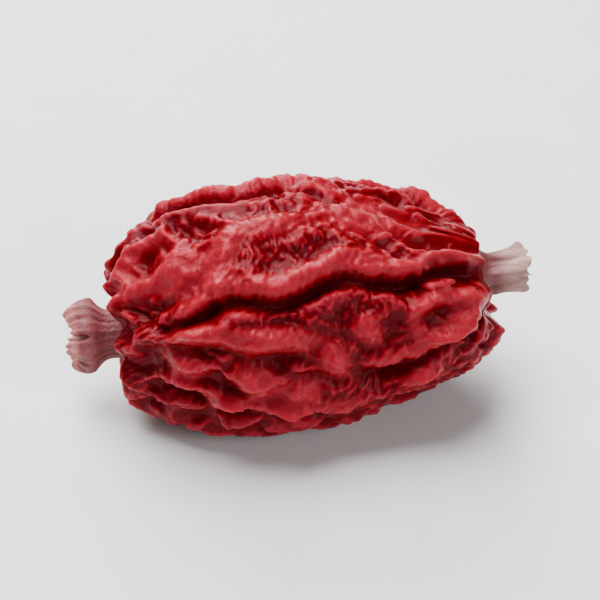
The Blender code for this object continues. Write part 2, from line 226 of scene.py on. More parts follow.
# What the skin's material takes from its form, each from none to most: how far skin stands out where it turns
# pink, partly as painted sheen, how strongly it bends at a ridge and at a fine crest, which sets the painted
# highlight on ridges and crests and the painted shade in furrows, and where it is brown round the stigma and
# stem.
SHEEN_PINK_HEIGHTS = (0.02 * MM, 0.13 * MM)
RIDGE_BENDS = (-0.25, 0.35)
CREST_BENDS = (-0.12, 0.20)
BROWN_RADII = (0.6 * MM, 1.05 * MM)
BROWN_SHARES = (0.6, 0.8)

# Where the stigma's pit starts and is darkest, from its middle. Where the stigma is pale and where it is red,
# from its rim, and where the stem stub is, from its node's low end.
STIGMA_PIT = (0.34 * MM, 0.16 * MM)
STIGMA_FOOT = (0.02 * MM, 0.2 * MM)
STEM_FOOT = (0.65 * MM, 0.2 * MM)
STEM_STREAKS = (0.22, 1.0, 1.0)
PITH_STREAKS = (0.3, 1.0, 1.0)

# Each material's patches of two colours, and the grain of its surface.
Patches = namedtuple("Patches", "size contrast")
SKIN_PATCHES = Patches(1.4 * MM, 0.55)
STIGMA_PATCHES = Patches(0.28 * MM, 0.7)
BARK_PATCHES = Patches(0.13 * MM, 0.8)
PITH_PATCHES = Patches(0.1 * MM, 0.7)
FLOOR_PATCHES = Patches(2.0 * MM, 0.3)
Grain = namedtuple("Grain", "cell_size cells depth")
SKIN_GRAIN = Grain(0.07 * MM, 0.6, 0.022 * MM)
STIGMA_GRAIN = Grain(0.05 * MM, 0.8, 0.02 * MM)
BARK_GRAIN = Grain(0.05 * MM, 0.4, 0.03 * MM)

# How much the skin's roughness varies: over its patches, in a furrow and on a knob.
PATCH_ROUGHNESS = 0.06
FURROW_ROUGHNESS = 0.2
KNOB_SMOOTHNESS = 0.06

# The lights, each with its place from the origin and its width, and the floor.
Lamp = namedtuple("Lamp", "name place width")
KEY_LAMP = Lamp("key_light", (-0.022, 0.018, 0.108), 0.085)
BACK_LAMP = Lamp("back_light", (-0.015, 0.085, 0.060), 0.070)
FILL_LAMP = Lamp("fill_light", (0.060, -0.080, 0.060), 0.060)
SURROUND_COLOUR = (0.95, 0.97, 1.0, 1.0)
FLOOR_RADIUS = 3.0


def smooth(value, low, high):
    """0 below low, 1 above high, and an even slope between them."""
    share = np.clip((value - low) / (high - low), 0.0, 1.0)
    return share * share * (3.0 - 2.0 * share)


def swell(points, length, phase):
    """A slow, uneven wave through space, from about -1 to 1, for what varies over the berry."""
    p = points / length
    first = np.sin(1.9 * p[..., 0] + 1.3 * p[..., 1] + phase)
    second = np.sin(2.3 * p[..., 1] - 1.1 * p[..., 2] + 1.7 * phase)
    third = np.sin(2.1 * p[..., 2] + 1.5 * p[..., 0] + 2.9 * phase)
    return (first + second + third) / 2.2


def waves_round(around, waves):
    """The sum of a few waves round an outline."""
    return sum(wave.height * np.sin(wave.count * around + wave.phase) for wave in waves)


class Barrel:
    """The plump form that the berry shrank from: a barrel with blunt ends, lying along X."""

    def __init__(self, form):
        self.half = np.array([form.length, form.width, form.height]) / 2
        self.power = form.fullness
        self.taper = form.stem_end_taper

    def points(self, along, around):
        """Its points. along is 0 at the blossom end and pi at the stem end."""
        along, around = np.broadcast_arrays(along, around)
        power = 2.0 / self.power
        cosine, sine = np.cos(along), np.clip(np.sin(along), 0.0, 1.0)
        x = -np.sign(cosine) * np.abs(cosine) ** power
        radius = sine**power * (1.0 - self.taper * x)
        return np.stack([x, -radius * np.sin(around), radius * np.cos(around)], axis=-1) * self.half

    def even_rings(self, count):
        """Values of along that divide the outline into equal lengths, both ends included."""
        fine = np.linspace(0.0, math.pi, OUTLINE_STEPS)
        outline = self.points(fine, np.zeros_like(fine))
        steps = np.linalg.norm(np.diff(outline, axis=0), axis=1)
        walked = np.concatenate([[0.0], np.cumsum(steps)])
        return np.interp(np.linspace(0.0, walked[-1], count), walked, fine)

    def normals(self, points):
        """Outward unit normals at its points."""
        unit = points / self.half
        across = np.maximum(np.hypot(unit[..., 1], unit[..., 2]), 1e-9)
        x_part = np.sign(unit[..., 0]) * np.abs(unit[..., 0]) ** (self.power - 1)
        yz_scale = across ** (self.power - 2)
        made = np.stack([x_part, yz_scale * unit[..., 1], yz_scale * unit[..., 2]], axis=-1) / self.half
        return made / np.linalg.norm(made, axis=-1, keepdims=True)


def wave_patches(barrel, ripples):
    """Centres, wave vectors and phases of a set's wave patches, spread evenly over the barrel."""
    random = np.random.default_rng(ripples.seed)
    shares = np.linspace(0.0, 1.0, OUTLINE_STEPS)
    along = np.interp(random.random(ripples.patches), shares, barrel.even_rings(OUTLINE_STEPS))
    around = random.random(ripples.patches) * TURN
    centres = barrel.points(along, around)
    normals = barrel.normals(centres)
    round_axis = np.cross(normals, [1.0, 0.0, 0.0])
    round_axis /= np.linalg.norm(round_axis, axis=-1, keepdims=True)
    lengthwise = np.cross(round_axis, normals)
    jitter = random.normal(0.0, ripples.jitter, ripples.patches)
    swirl = SWIRL_ANGLE * swell(centres, SWIRL_LENGTH, SWIRL_PHASE)
    turn = np.radians(ripples.turn + swirl + jitter)[:, None]
    waves = (np.cos(turn) * round_axis + np.sin(turn) * lengthwise) / ripples.spacing
    phases = random.random(ripples.patches) * TURN
    return centres, waves, phases


def crests(barrel, points, ripples):
    """How high a set's ridges stand at points of the barrel: 1 on a crest, 0 in a furrow."""
    flat = points.reshape(-1, 3)
    order = np.argsort(flat[:, 0])
    ordered = flat[order]
    total = np.zeros(len(flat), complex)
    edge = PATCH_EDGE * ripples.reach
    for centre, wave, phase in zip(*wave_patches(barrel, ripples)):
        low, high = np.searchsorted(ordered[:, 0], [centre[0] - edge, centre[0] + edge])
        offset = ordered[low:high] - centre
        near = np.flatnonzero((np.abs(offset[:, 1]) < edge) & (np.abs(offset[:, 2]) < edge))
        offset = offset[near]
        weight = np.exp(-((offset / ripples.reach) ** 2).sum(axis=-1))
        total[low + near] += weight * np.exp(1j * (TURN * (offset @ wave) + phase))
    strength = np.abs(total)
    crest = ((1.0 + np.cos(np.angle(total))) / 2.0) ** CREST_POWER
    sure = strength / (strength + CREST_FAINT)
    height = np.empty(len(flat))
    height[order] = CREST_MEAN + sure * (crest - CREST_MEAN)
    return height.reshape(points.shape[:-1])


def wrinkles(barrel, points, depth):
    """Height of the wrinkles at points of the barrel: crests that branch, loop and close on dimples."""
    linked = LINK_SHARE * smooth(swell(points, LINK_LENGTH, LINK_PHASE), -0.6, 0.5)
    long_furrows = 1.0 - crests(barrel, points, LONG_RIPPLES)
    cross_furrows = 1.0 - linked * crests(barrel, points, CROSS_RIPPLES)
    calm = 1.0 - CALM_SHARE * smooth(swell(points, CALM_LENGTH, CALM_PHASE), 0.0, 0.9)
    return depth * calm * (1.0 - long_furrows * cross_furrows - CREST_MEAN)


def fine_wrinkles(barrel, points, form):
    """Height of the fine wrinkles and of the creping that lie over the wrinkles."""
    more = 0.45 + 0.55 * smooth(swell(points, FINE_LENGTH, FINE_PHASE), -0.7, 0.6)
    fine = form.fine_wrinkle_depth * more * (crests(barrel, points, FINE_RIPPLES) - CREST_MEAN)
    crepe = form.crepe_depth * (1.3 - more) * (crests(barrel, points, CREPE_RIPPLES) - CREST_MEAN)
    return fine + crepe


def long_creases(points, around):
    """Height of the long creases and of their lips at points of the barrel."""
    height = np.zeros(points.shape[:-1])
    radius = np.hypot(points[..., 1], points[..., 2])
    x = points[..., 0]
    for number, crease in enumerate(CREASES):
        share = (x - crease.x_from) / (crease.x_to - crease.x_from)
        path = np.radians(crease.angle_from + (crease.angle_to - crease.angle_from) * share)
        away = (around - path + math.pi) % TURN - math.pi
        sway = CREASE_SWAY * np.sin(TURN * x / CREASE_SWAY_LENGTH + 2.1 * number)
        across = away * radius + sway
        starts = smooth(x, crease.x_from, crease.x_from + CREASE_FADE)
        ends = 1.0 - smooth(x, crease.x_to - CREASE_FADE, crease.x_to)
        groove = np.exp(-((across / CREASE_WIDTH) ** 2))
        lip = np.exp(-(((across + LIP_OFFSET) / LIP_WIDTH) ** 2))
        height += crease.depth * starts * ends * (LIP_SHARE * lip - groove)
    return height


def from_knob(points, around, knob):
    """Where points lie from a knob's middle, along and across it, as shares of its half sizes."""
    radius = np.hypot(points[..., 1], points[..., 2])
    across = ((around - math.radians(knob.angle) + math.pi) % TURN - math.pi) * radius
    along = points[..., 0] - knob.x
    turn = math.radians(knob.turn)
    lengthwise = (math.cos(turn) * along + math.sin(turn) * across) / knob.half_length
    crosswise = (math.cos(turn) * across - math.sin(turn) * along) / knob.half_width
    return lengthwise, crosswise


def knobs_and_loops(points, around):
    """Height of the knobs and loops at points of the barrel, and how much of the wrinkles is left there."""
    height, left = np.zeros(points.shape[:-1]), np.ones(points.shape[:-1])
    for knob in KNOBS + LOOPS:
        lengthwise, crosswise = from_knob(points, around, knob)
        distance = np.hypot(lengthwise, crosswise)
        if knob in LOOPS:
            closed = smooth(lengthwise, -LOOP_OPEN - 0.5, -LOOP_OPEN + 0.5)
            height += knob.height * closed * np.exp(-(((distance - 1.0) / LOOP_WALL) ** 2))
        else:
            height += knob.height * np.exp(-(distance**2))
        left *= 1.0 - KNOB_CALM * np.exp(-((distance / KNOB_REACH) ** 4))
    return height, left


def standing_out(points, around):
    """Height of the knobs, loops and creases, and how much of the wrinkles is left there."""
    knobs, left = knobs_and_loops(points, around)
    return knobs + long_creases(points, around), left


def side_normal(side):
    """The direction that a shrunk side faces."""
    angle, lean = math.radians(side.angle), math.radians(side.lean)
    return np.array(
        [math.sin(lean), -math.cos(lean) * math.sin(angle), math.cos(lean) * math.cos(angle)]
    )


def shrink_sides(barrel, points):
    """Moves what lies outside each shrunk side's plane inwards, past the plane, with a soft edge."""
    around = np.linspace(0.0, TURN, MEASURED_SEGMENTS)
    plump = barrel.points(barrel.even_rings(MEASURED_RINGS)[:, None], around[None, :])
    for side in SHRUNK_SIDES:
        normal = side_normal(side)
        plane = (plump @ normal).max() - side.depth
        beyond = (points @ normal - plane) / SIDE_EDGE
        excess = SIDE_EDGE * np.logaddexp(0.0, beyond)
        points = points - SIDE_FALL * excess[..., None] * normal
    return points


def sink_seat(barrel, points, seat, end):
    """Draws the skin in at one end, to a level floor, with puckers running out of it."""
    height = end * points[..., 0]
    off_axis = np.hypot(points[..., 1], points[..., 2] - seat.rise)
    around = np.arctan2(-points[..., 1], points[..., 2] - seat.rise)
    here = height > 0
    sunk = 1.0 - smooth(off_axis, seat.floor, seat.rim)
    starts = smooth(off_axis, seat.floor, seat.floor * PUCKER_START)
    stops = 1.0 - smooth(off_axis, seat.rim, seat.rim * PUCKER_STOP)
    wave = np.cos(seat.puckers * around + PUCKER_UNEVEN * np.sin(2 * around))
    pucker = seat.pucker_depth * starts * stops * wave
    level = barrel.half[0] - seat.depth
    drawn = height + (level - height) * sunk + pucker
    moved = points.copy()
    moved[..., 0] = np.where(here, end * drawn, points[..., 0])
    return moved


def pressed(points):
    """How much a point belongs to the underside that lies on the surface, from 0 to 1."""
    off_centre = np.hypot(points[..., 0] / PRESSED_HALF_LENGTH, points[..., 1] / PRESSED_HALF_WIDTH)
    return (1.0 - smooth(off_centre, 0.75, 1.15)) * (points[..., 2] < 0)


def skin_points(barrel, form, along, around):
    """Points of the dried berry's skin, with the flat spot at height 0."""
    plump = barrel.points(along, around)
    around = np.broadcast_arrays(along, around)[1]
    rise = np.where(plump[..., 0] > 0, STEM_SEAT.rise, STIGMA_SEAT.rise)
    ends = smooth(np.hypot(plump[..., 1], plump[..., 2] - rise), ENDS_FROM, ENDS_TO)
    raised, left = standing_out(plump, around)
    relief = raised + left * wrinkles(barrel, plump, form.wrinkle_depth)
    relief += (KNOB_FINE + (1.0 - KNOB_FINE) * left) * fine_wrinkles(barrel, plump, form)
    relief *= ends * (1.0 - pressed(plump))
    points = shrink_sides(barrel, plump) + relief[..., None] * barrel.normals(plump)
    points = sink_seat(barrel, points, STIGMA_SEAT, -1)
    points = sink_seat(barrel, points, STEM_SEAT, 1)
    points[..., 2] -= form.axis_sag * (points[..., 0] / barrel.half[0]) ** 2
    rest_height = PRESSED_DEPTH - barrel.half[2]
    points[..., 2] = np.maximum(points[..., 2] - rest_height, 0.0)
    return points


def stepped(grid, rings, segments):
    """The grid's points that lie some rings and segments away, with the rings held at the two ends."""
    count = len(grid)
    moved = grid[np.clip(np.arange(count) + rings, 0, count - 1)]
    return np.roll(moved, -segments, axis=1)


def convexity(grid, reach):
    """How far each point of the grid stands above its neighbours a few points away, in metres."""
    round_it = stepped(grid, 0, 1) - stepped(grid, 0, -1)
    along_it = stepped(grid, 1, 0) - stepped(grid, -1, 0)
    normals = np.cross(round_it, along_it)
    normals /= np.maximum(np.linalg.norm(normals, axis=-1, keepdims=True), 1e-12)
    around = stepped(grid, reach, 0) + stepped(grid, -reach, 0)
    around += stepped(grid, 0, reach) + stepped(grid, 0, -reach)
    return ((grid - around / 4.0) * normals).sum(axis=-1)


def paint_values(mesh, name, values):
    """Keeps one number for each point of a mesh, for its material to read."""
    attribute = mesh.attributes.new(name, "FLOAT", "POINT")
    attribute.data.foreach_set("value", np.asarray(values, np.float32))


def read_points(mesh):
    """A mesh's points as an array."""
    flat = np.empty(len(mesh.vertices) * 3, np.float32)
    mesh.vertices.foreach_get("co", flat)
    return flat.reshape(-1, 3).astype(float)


def write_points(mesh, points):
    """Moves a mesh's points."""
    mesh.vertices.foreach_set("co", np.asarray(points, np.float32).ravel())
    mesh.update()


def skin_paint(barrel, grid, plump, around):
    """What the skin's material reads at each point of the grid, by name, from 0 to 1."""
    step = TURN * barrel.half[1] / grid.shape[1]
    heights = standing_out(plump, np.broadcast_to(around, plump.shape[:2]))[0]
    middle = np.where(grid[..., 0] > 0, stem_base().z, stigma_centre().z)
    off_axis = np.hypot(grid[..., 1], grid[..., 2] - middle)
    at_end = smooth(np.abs(grid[..., 0]) / barrel.half[0], *BROWN_SHARES)
    return {
        "ridge": smooth(convexity(grid, BROAD_REACH) / (BROAD_REACH * step), *RIDGE_BENDS),
        "crisp": smooth(convexity(grid, FINE_REACH) / (FINE_REACH * step), *CREST_BENDS),
        "ends": (1.0 - smooth(off_axis, *BROWN_RADII)) * at_end,
        "raised": smooth(heights, *SHEEN_PINK_HEIGHTS),
    }


def deselect():
    """Leaves nothing selected, so that an operator acts on the new piece alone."""
    for piece in bpy.context.selected_objects:
        piece.select_set(False)


def finished(name, material, node):
    """Names the active piece, gives it its finish and puts it in the frame in the place of a node."""
    piece = bpy.context.active_object
    piece.name = piece.data.name = name
    bpy.ops.object.transform_apply(location=True, rotation=True, scale=True)
    bpy.ops.object.shade_smooth()
    piece.data.materials.clear()
    piece.data.materials.append(material)
    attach(piece, "root")
    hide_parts(node)
    return piece


def smoothed(levels):
    """Divides the active piece more finely, rounding it, and applies that."""
    modifier = bpy.context.active_object.modifiers.new("Rounding", "SUBSURF")
    modifier.levels = modifier.render_levels = levels
    bpy.ops.object.modifier_apply(modifier=modifier.name)


def face_outwards():
    """Turns every face of the active piece outwards."""
    bpy.ops.object.mode_set(mode="EDIT")
    bpy.ops.mesh.select_all(action="SELECT")
    bpy.ops.mesh.normals_make_consistent(inside=False)
    bpy.ops.object.mode_set(mode="OBJECT")


def extruded_outline(outline, radius, length, base, segments):
    """Extrudes a disc along X from base, following pairs of shares of radius and of length."""
    facing = math.copysign(math.pi / 2, length)
    deselect()
    bpy.ops.mesh.primitive_circle_add(
        vertices=segments,
        radius=outline[0][0] * radius,
        fill_type="NGON",
        location=base,
        rotation=(0.0, facing, 0.0),
    )
    bpy.ops.object.mode_set(mode="EDIT")
    for (before, at), (after, to) in zip(outline, outline[1:]):
        bpy.ops.mesh.extrude_region_move(TRANSFORM_OT_translate={"value": ((to - at) * length, 0.0, 0.0)})
        share = after / before
        middle = (base[0] + to * length, base[1], base[2])
        bpy.ops.transform.resize(value=(share, share, share), center_override=middle)
    face_outwards()
    bpy.ops.object.transform_apply(location=True, rotation=True, scale=True)


def stigma_centre():
    """The middle of the stigma's node."""
    low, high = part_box("stigma_ring")
    return (low + high) / 2


def stem_base():
    """The middle of the stem stub's foot, rooted in the skin under its node."""
    height = stigma_centre().z + STEM_SEAT.rise - STIGMA_SEAT.rise
    return Vector((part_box("stem_stub")[0].x - ROOT_DEPTH, 0.0, height))


def stem_points(form, points):
    """Bends, flutes and slants points of the straight stalk, which starts at 0 and runs along X."""
    share = np.clip(points[:, 0] / form.length, 0.0, 1.0)
    off_axis, around = np.hypot(points[:, 1], points[:, 2]), np.arctan2(-points[:, 1], points[:, 2])
    flutes = np.cos(form.flutes * around + form.twist * share) - 1.0
    flutes += STEM_MINOR_DEPTH * (np.cos(STEM_MINOR_FLUTES * around - 2.0 * share + 0.7) - 1.0)
    bark = STEM_BARK_DEPTH * np.sin(23 * around + 9.0 * share) * np.sin(14.0 * share + 3 * around)
    fluted = form.flute_depth * smooth(share, 0.0, 0.3) * flutes
    radius = off_axis * (1.0 + fluted + bark * smooth(share, 0.1, 0.4))
    rim = smooth(share, 0.8, 1.0) * smooth(off_axis, 0.3 * form.radius, form.radius)
    torn = STEM_TORN_DEPTH * form.length * waves_round(around, STEM_RAGGED) * rim
    slant = form.slant * smooth(share, 0.5, 1.0) * radius * np.cos(around - 0.8)
    moved = np.empty_like(points)
    moved[:, 0] = points[:, 0] + slant + torn
    moved[:, 1] = -radius * np.sin(around) - 0.4 * form.lean * share**2
    moved[:, 2] = radius * np.cos(around) + form.lean * share**2
    return moved


# Materials


def set_inputs(tree, node, inputs):
    """Sets or links a node's own inputs, by name or number."""
    for name, value in inputs.items():
        if isinstance(value, bpy.types.NodeSocket):
            tree.links.new(value, node.inputs[name])
        else:
            node.inputs[name].default_value = value


def add_node(tree, kind, inputs=None, **settings):
    """Adds a node, with its settings and its inputs."""
    made = tree.nodes.new(kind)
    for name, value in settings.items():
        setattr(made, name, value)
    set_inputs(tree, made, inputs or {})
    return made


def maths(tree, operation, first, second=0.0):
    """A Math node's value."""
    return add_node(tree, "ShaderNodeMath", {0: first, 1: second}, operation=operation).outputs[0]


def blend_colours(tree, share, first, second):
    """A colour that goes from first to second as share goes from 0 to 1."""
    return add_node(tree, "ShaderNodeMix", {0: share, 6: first, 7: second}, data_type="RGBA").outputs[2]


def between(tree, value, low, high, to_low=0.0, to_high=1.0):
    """A value brought from one range to another, smoothly, and held inside it."""
    inputs = {0: value, 1: low, 2: high, 3: to_low, 4: to_high}
    return add_node(tree, "ShaderNodeMapRange", inputs, interpolation_type="SMOOTHSTEP").outputs[0]


def painted(tree, name):
    """A number kept on the mesh by paint_values."""
    return add_node(tree, "ShaderNodeAttribute", attribute_name=name).outputs["Fac"]


def new_group(name, inputs, outputs):
    """An empty node group with its sockets, and its input and output nodes."""
    tree = bpy.data.node_groups.new(name, "ShaderNodeTree")
    for socket, kind, default in inputs:
        made = tree.interface.new_socket(socket, in_out="INPUT", socket_type=kind)
        if default is not None:
            made.default_value = default
    for socket, kind in outputs:
        tree.interface.new_socket(socket, in_out="OUTPUT", socket_type=kind)
    return tree, tree.nodes.new("NodeGroupInput"), tree.nodes.new("NodeGroupOutput")


def use_group(tree, group, inputs):
    """Places a node group in a material, with its own values."""
    made = tree.nodes.new("ShaderNodeGroup")
    made.node_tree = group
    set_inputs(tree, made, inputs)
    return made


def mottle_group():
    """Uneven patches of two colours, as dried plant skin has, and the share of each."""
    name = "Mottle"
    if name in bpy.data.node_groups:
        return bpy.data.node_groups[name]
    inputs = (
        ("Vector", "NodeSocketVector", None),
        ("Size", "NodeSocketFloat", 0.001),
        ("Contrast", "NodeSocketFloat", 0.5),
        ("Dark", "NodeSocketColor", None),
        ("Light", "NodeSocketColor", None),
    )
    tree, given, out = new_group(name, inputs, (("Color", "NodeSocketColor"), ("Share", "NodeSocketFloat")))
    scale = maths(tree, "DIVIDE", 1.0, given.outputs["Size"])
    texture = {
        "Vector": given.outputs["Vector"],
        "Scale": scale,
        "Detail": 5.0,
        "Roughness": 0.6,
        "Distortion": 0.4,
    }
    noise = add_node(tree, "ShaderNodeTexNoise", texture)
    half = maths(tree, "MULTIPLY", given.outputs["Contrast"], 0.5)
    low = maths(tree, "SUBTRACT", 0.5, half)
    high = maths(tree, "ADD", 0.5, half)
    share = between(tree, noise.outputs["Fac"], high, low)
    colour = blend_colours(tree, share, given.outputs["Light"], given.outputs["Dark"])
    set_inputs(tree, out, {"Color": colour, "Share": share})
    return tree


def grain_group():
    """The finest relief of dried plant skin: pores between cells, over a soft unevenness, as a height."""
    name = "Skin grain"
    if name in bpy.data.node_groups:
        return bpy.data.node_groups[name]
    inputs = (
        ("Vector", "NodeSocketVector", None),
        ("Cell size", "NodeSocketFloat", 0.00005),
        ("Cells", "NodeSocketFloat", 0.5),
    )
    tree, given, out = new_group(name, inputs, (("Height", "NodeSocketFloat"),))
    scale = maths(tree, "DIVIDE", 1.0, given.outputs["Cell size"])
    cellular = {"Vector": given.outputs["Vector"], "Scale": scale, "Randomness": 0.9}
    cells = add_node(tree, "ShaderNodeTexVoronoi", cellular, feature="SMOOTH_F1")
    slow = maths(tree, "MULTIPLY", scale, 0.22)
    uneven = {"Vector": given.outputs["Vector"], "Scale": slow, "Detail": 6.0, "Roughness": 0.65}
    noise = add_node(tree, "ShaderNodeTexNoise", uneven)
    domes = maths(tree, "SUBTRACT", 1.0, cells.outputs["Distance"])
    domes = maths(tree, "MULTIPLY", domes, given.outputs["Cells"])
    height = maths(tree, "ADD", domes, noise.outputs["Fac"])
    set_inputs(tree, out, {"Height": height})
    return tree


def new_material(name):
    """A material with its tree, its Principled BSDF and its Object coordinates."""
    material = bpy.data.materials.new(name)
    material.use_nodes = True
    tree = material.node_tree
    place = tree.nodes.new("ShaderNodeTexCoord").outputs["Object"]
    return material, tree, tree.nodes["Principled BSDF"], place


def mottled(tree, place, patches, dark, light):
    """Places the mottle group in a material, with its patches and colours."""
    values = {
        "Vector": place,
        "Size": patches.size,
        "Contrast": patches.contrast,
        "Dark": dark,
        "Light": light,
    }
    return use_group(tree, mottle_group(), values)


def add_grain(tree, shader, place, grain):
    """Places the grain group in a material and feeds its height into the shader's normal."""
    values = {"Vector": place, "Cell size": grain.cell_size, "Cells": grain.cells}
    height = use_group(tree, grain_group(), values).outputs["Height"]
    bump = add_node(tree, "ShaderNodeBump", {"Height": height, "Distance": grain.depth, "Strength": 1.0})
    set_inputs(tree, shader, {"Normal": bump.outputs["Normal"]})


def skin_material(look):
    """Deep red skin with painted shade in its furrows; ridges and knobs paler, part thin skin, part painted
    highlight.
    """
    material, tree, shader, place = new_material("berry_skin")
    mottle = mottled(tree, place, SKIN_PATCHES, look.dark_red, look.bright_red)
    ridge = between(tree, painted(tree, "ridge"), 0.45, 1.0)
    furrow = between(tree, painted(tree, "ridge"), 0.5, 0.0)
    crisp = between(tree, painted(tree, "crisp"), 0.5, 1.0)
    ends = painted(tree, "ends")
    raised = painted(tree, "raised")
    colour = mottle.outputs["Color"]
    # The furrow colour is painted shade; the ridge, crest and knob colours are partly paler skin and partly
    # painted highlight and sheen.
    for mask, share, tint in (
        (furrow, 0.65, look.furrow_shade_red),
        (ridge, 0.7, look.ridge_thin_and_highlight),
        (crisp, 0.3, look.crest_worn_and_highlight),
        (raised, 0.55, look.knob_stretch_and_sheen),
        (ends, 0.6, look.end_brown),
    ):
        colour = blend_colours(tree, maths(tree, "MULTIPLY", mask, share), colour, tint)
    smoothest, roughest = look.skin_roughness - PATCH_ROUGHNESS, look.skin_roughness + PATCH_ROUGHNESS
    uneven = between(tree, mottle.outputs["Share"], 0.0, 1.0, smoothest, roughest)
    roughness = maths(tree, "ADD", uneven, maths(tree, "MULTIPLY", furrow, FURROW_ROUGHNESS))
    roughness = maths(tree, "SUBTRACT", roughness, maths(tree, "MULTIPLY", raised, KNOB_SMOOTHNESS))
    stretched = maths(tree, "MAXIMUM", ridge, raised)
    flesh = between(tree, stretched, 0.5, 1.0, 1.0, look.ridge_flesh)
    add_grain(tree, shader, place, SKIN_GRAIN)
    finish = {
        "Base Color": colour,
        "Roughness": roughness,
        "IOR": 1.38,
        "Specular Tint": look.shine_tint,
        "Subsurface Weight": 0.5,
        "Subsurface Radius": (1.0, 0.10, 0.06),
        "Subsurface Scale": 0.28 * MM,
        "Coat Weight": flesh,
        "Coat Tint": look.flesh_tint,
        "Coat IOR": 1.12,
        "Coat Roughness": 0.25,
    }
    set_inputs(tree, shader, finish)
    return material


def stigma_material(look, centre):
    """The stigma: pale tan and fibrous on its rim, which lies round centre, and dark brown in the pit."""
    material, tree, shader, place = new_material("stigma_tan")
    moved = add_node(tree, "ShaderNodeMapping", {"Vector": place, "Location": (0.0, -centre[1], -centre[2])})
    parts = add_node(tree, "ShaderNodeSeparateXYZ", {0: moved.outputs[0]})
    across = maths(tree, "MULTIPLY", parts.outputs["Y"], parts.outputs["Y"])
    upwards = maths(tree, "MULTIPLY", parts.outputs["Z"], parts.outputs["Z"])
    off_axis = maths(tree, "SQRT", maths(tree, "ADD", across, upwards))
    mottle = mottled(tree, place, STIGMA_PATCHES, look.stigma_shade, look.stigma_tan)
    pit = between(tree, off_axis, *STIGMA_PIT)
    foot = between(tree, parts.outputs["X"], *(centre[0] + x for x in STIGMA_FOOT))
    colour = blend_colours(tree, maths(tree, "MULTIPLY", foot, 0.8), mottle.outputs["Color"], look.end_brown)
    colour = blend_colours(tree, pit, colour, look.pit_brown)
    add_grain(tree, shader, place, STIGMA_GRAIN)
    finish = {
        "Base Color": colour,
        "Roughness": 0.62,
        "Subsurface Weight": 0.15,
        "Subsurface Radius": (1.0, 0.5, 0.3),
        "Subsurface Scale": 0.2 * MM,
    }
    set_inputs(tree, shader, finish)
    return material


def stem_material(look):
    """The stem stub: pale, dry bark in long streaks, redder at its foot."""
    material, tree, shader, place = new_material("stem_bark")
    drawn = add_node(tree, "ShaderNodeMapping", {"Vector": place, "Scale": STEM_STREAKS})
    mottle = mottled(tree, drawn.outputs[0], BARK_PATCHES, look.stem_shade, look.stem_brown)
    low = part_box("stem_stub")[0].x
    parts = add_node(tree, "ShaderNodeSeparateXYZ", {0: place})
    foot = between(tree, parts.outputs["X"], *(low + x for x in STEM_FOOT))
    colour = blend_colours(tree, maths(tree, "MULTIPLY", foot, 0.85), mottle.outputs["Color"], look.end_brown)
    set_inputs(tree, shader, {"Base Color": colour, "Roughness": 0.6})
    add_grain(tree, shader, drawn.outputs[0], BARK_GRAIN)
    return material


def pith_material(look):
    """The pale broken fibres at the stub's tip."""
    material, tree, shader, place = new_material("stem_pith")
    drawn = add_node(tree, "ShaderNodeMapping", {"Vector": place, "Scale": PITH_STREAKS})
    mottle = mottled(tree, drawn.outputs[0], PITH_PATCHES, look.stem_brown, look.pith)
    set_inputs(tree, shader, {"Base Color": mottle.outputs["Color"], "Roughness": 0.75})
    return material


def floor_material(stage):
    """The pale floor, with the faintest unevenness of matt paper."""
    material, tree, shader, place = new_material("floor_paper")
    shade = tuple(0.97 * x for x in stage.floor_colour[:3]) + (1.0,)
    mottle = mottled(tree, place, FLOOR_PATCHES, shade, stage.floor_colour)
    set_inputs(tree, shader, {"Base Color": mottle.outputs["Color"], "Roughness": 0.7})
    return material


# What a user would change


def length_property(name, description, value):
    """A length in metres, shown in the scene's unit."""
    metres = {"unit": "LENGTH", "subtype": "DISTANCE", "precision": 5}
    return FloatProperty(name=name, description=description, default=value, min=0.0, **metres)


def number_property(name, description, value, low=-1000.0, high=1000.0):
    """A plain number, held between low and high."""
    return FloatProperty(name=name, description=description, default=value, min=low, max=high)


def colour_property(name, description, value):
    """A colour that a material starts from."""
    return FloatVectorProperty(
        name=name, description=description, default=(*value, 1.0), min=0.0, max=1.0, size=4, subtype="COLOR"
    )


class BerryForm(bpy.types.PropertyGroup):
    """Sizes of the berry and of its wrinkles."""

    length: length_property("Length", "Length of the plump berry along X", 7.8 * MM)
    width: length_property("Width", "Width of the plump berry along Y", 5.0 * MM)
    height: length_property("Height", "Height of the plump berry along Z", 4.7 * MM)
    fullness: number_property("Fullness", "How blunt the ends are: 2 is an egg", 2.45, 2.0, 6.0)
    stem_end_taper: number_property("Taper", "How much slimmer the stem end is", 0.05, 0.0, 0.5)
    axis_sag: length_property("Sag", "How far the two ends hang below the middle", 0.12 * MM)
    wrinkle_depth: length_property("Wrinkles", "Depth of the main wrinkles", 0.32 * MM)
    fine_wrinkle_depth: length_property("Fine wrinkles", "Depth of the fine wrinkles", 0.088 * MM)
    crepe_depth: length_property("Creping", "Depth of the skin's creping", 0.044 * MM)
    rings: IntProperty(name="Rings", description="Divisions of the skin along X", default=268, min=16)
    segments: IntProperty(name="Segments", description="Divisions of the skin round X", default=360, min=16)


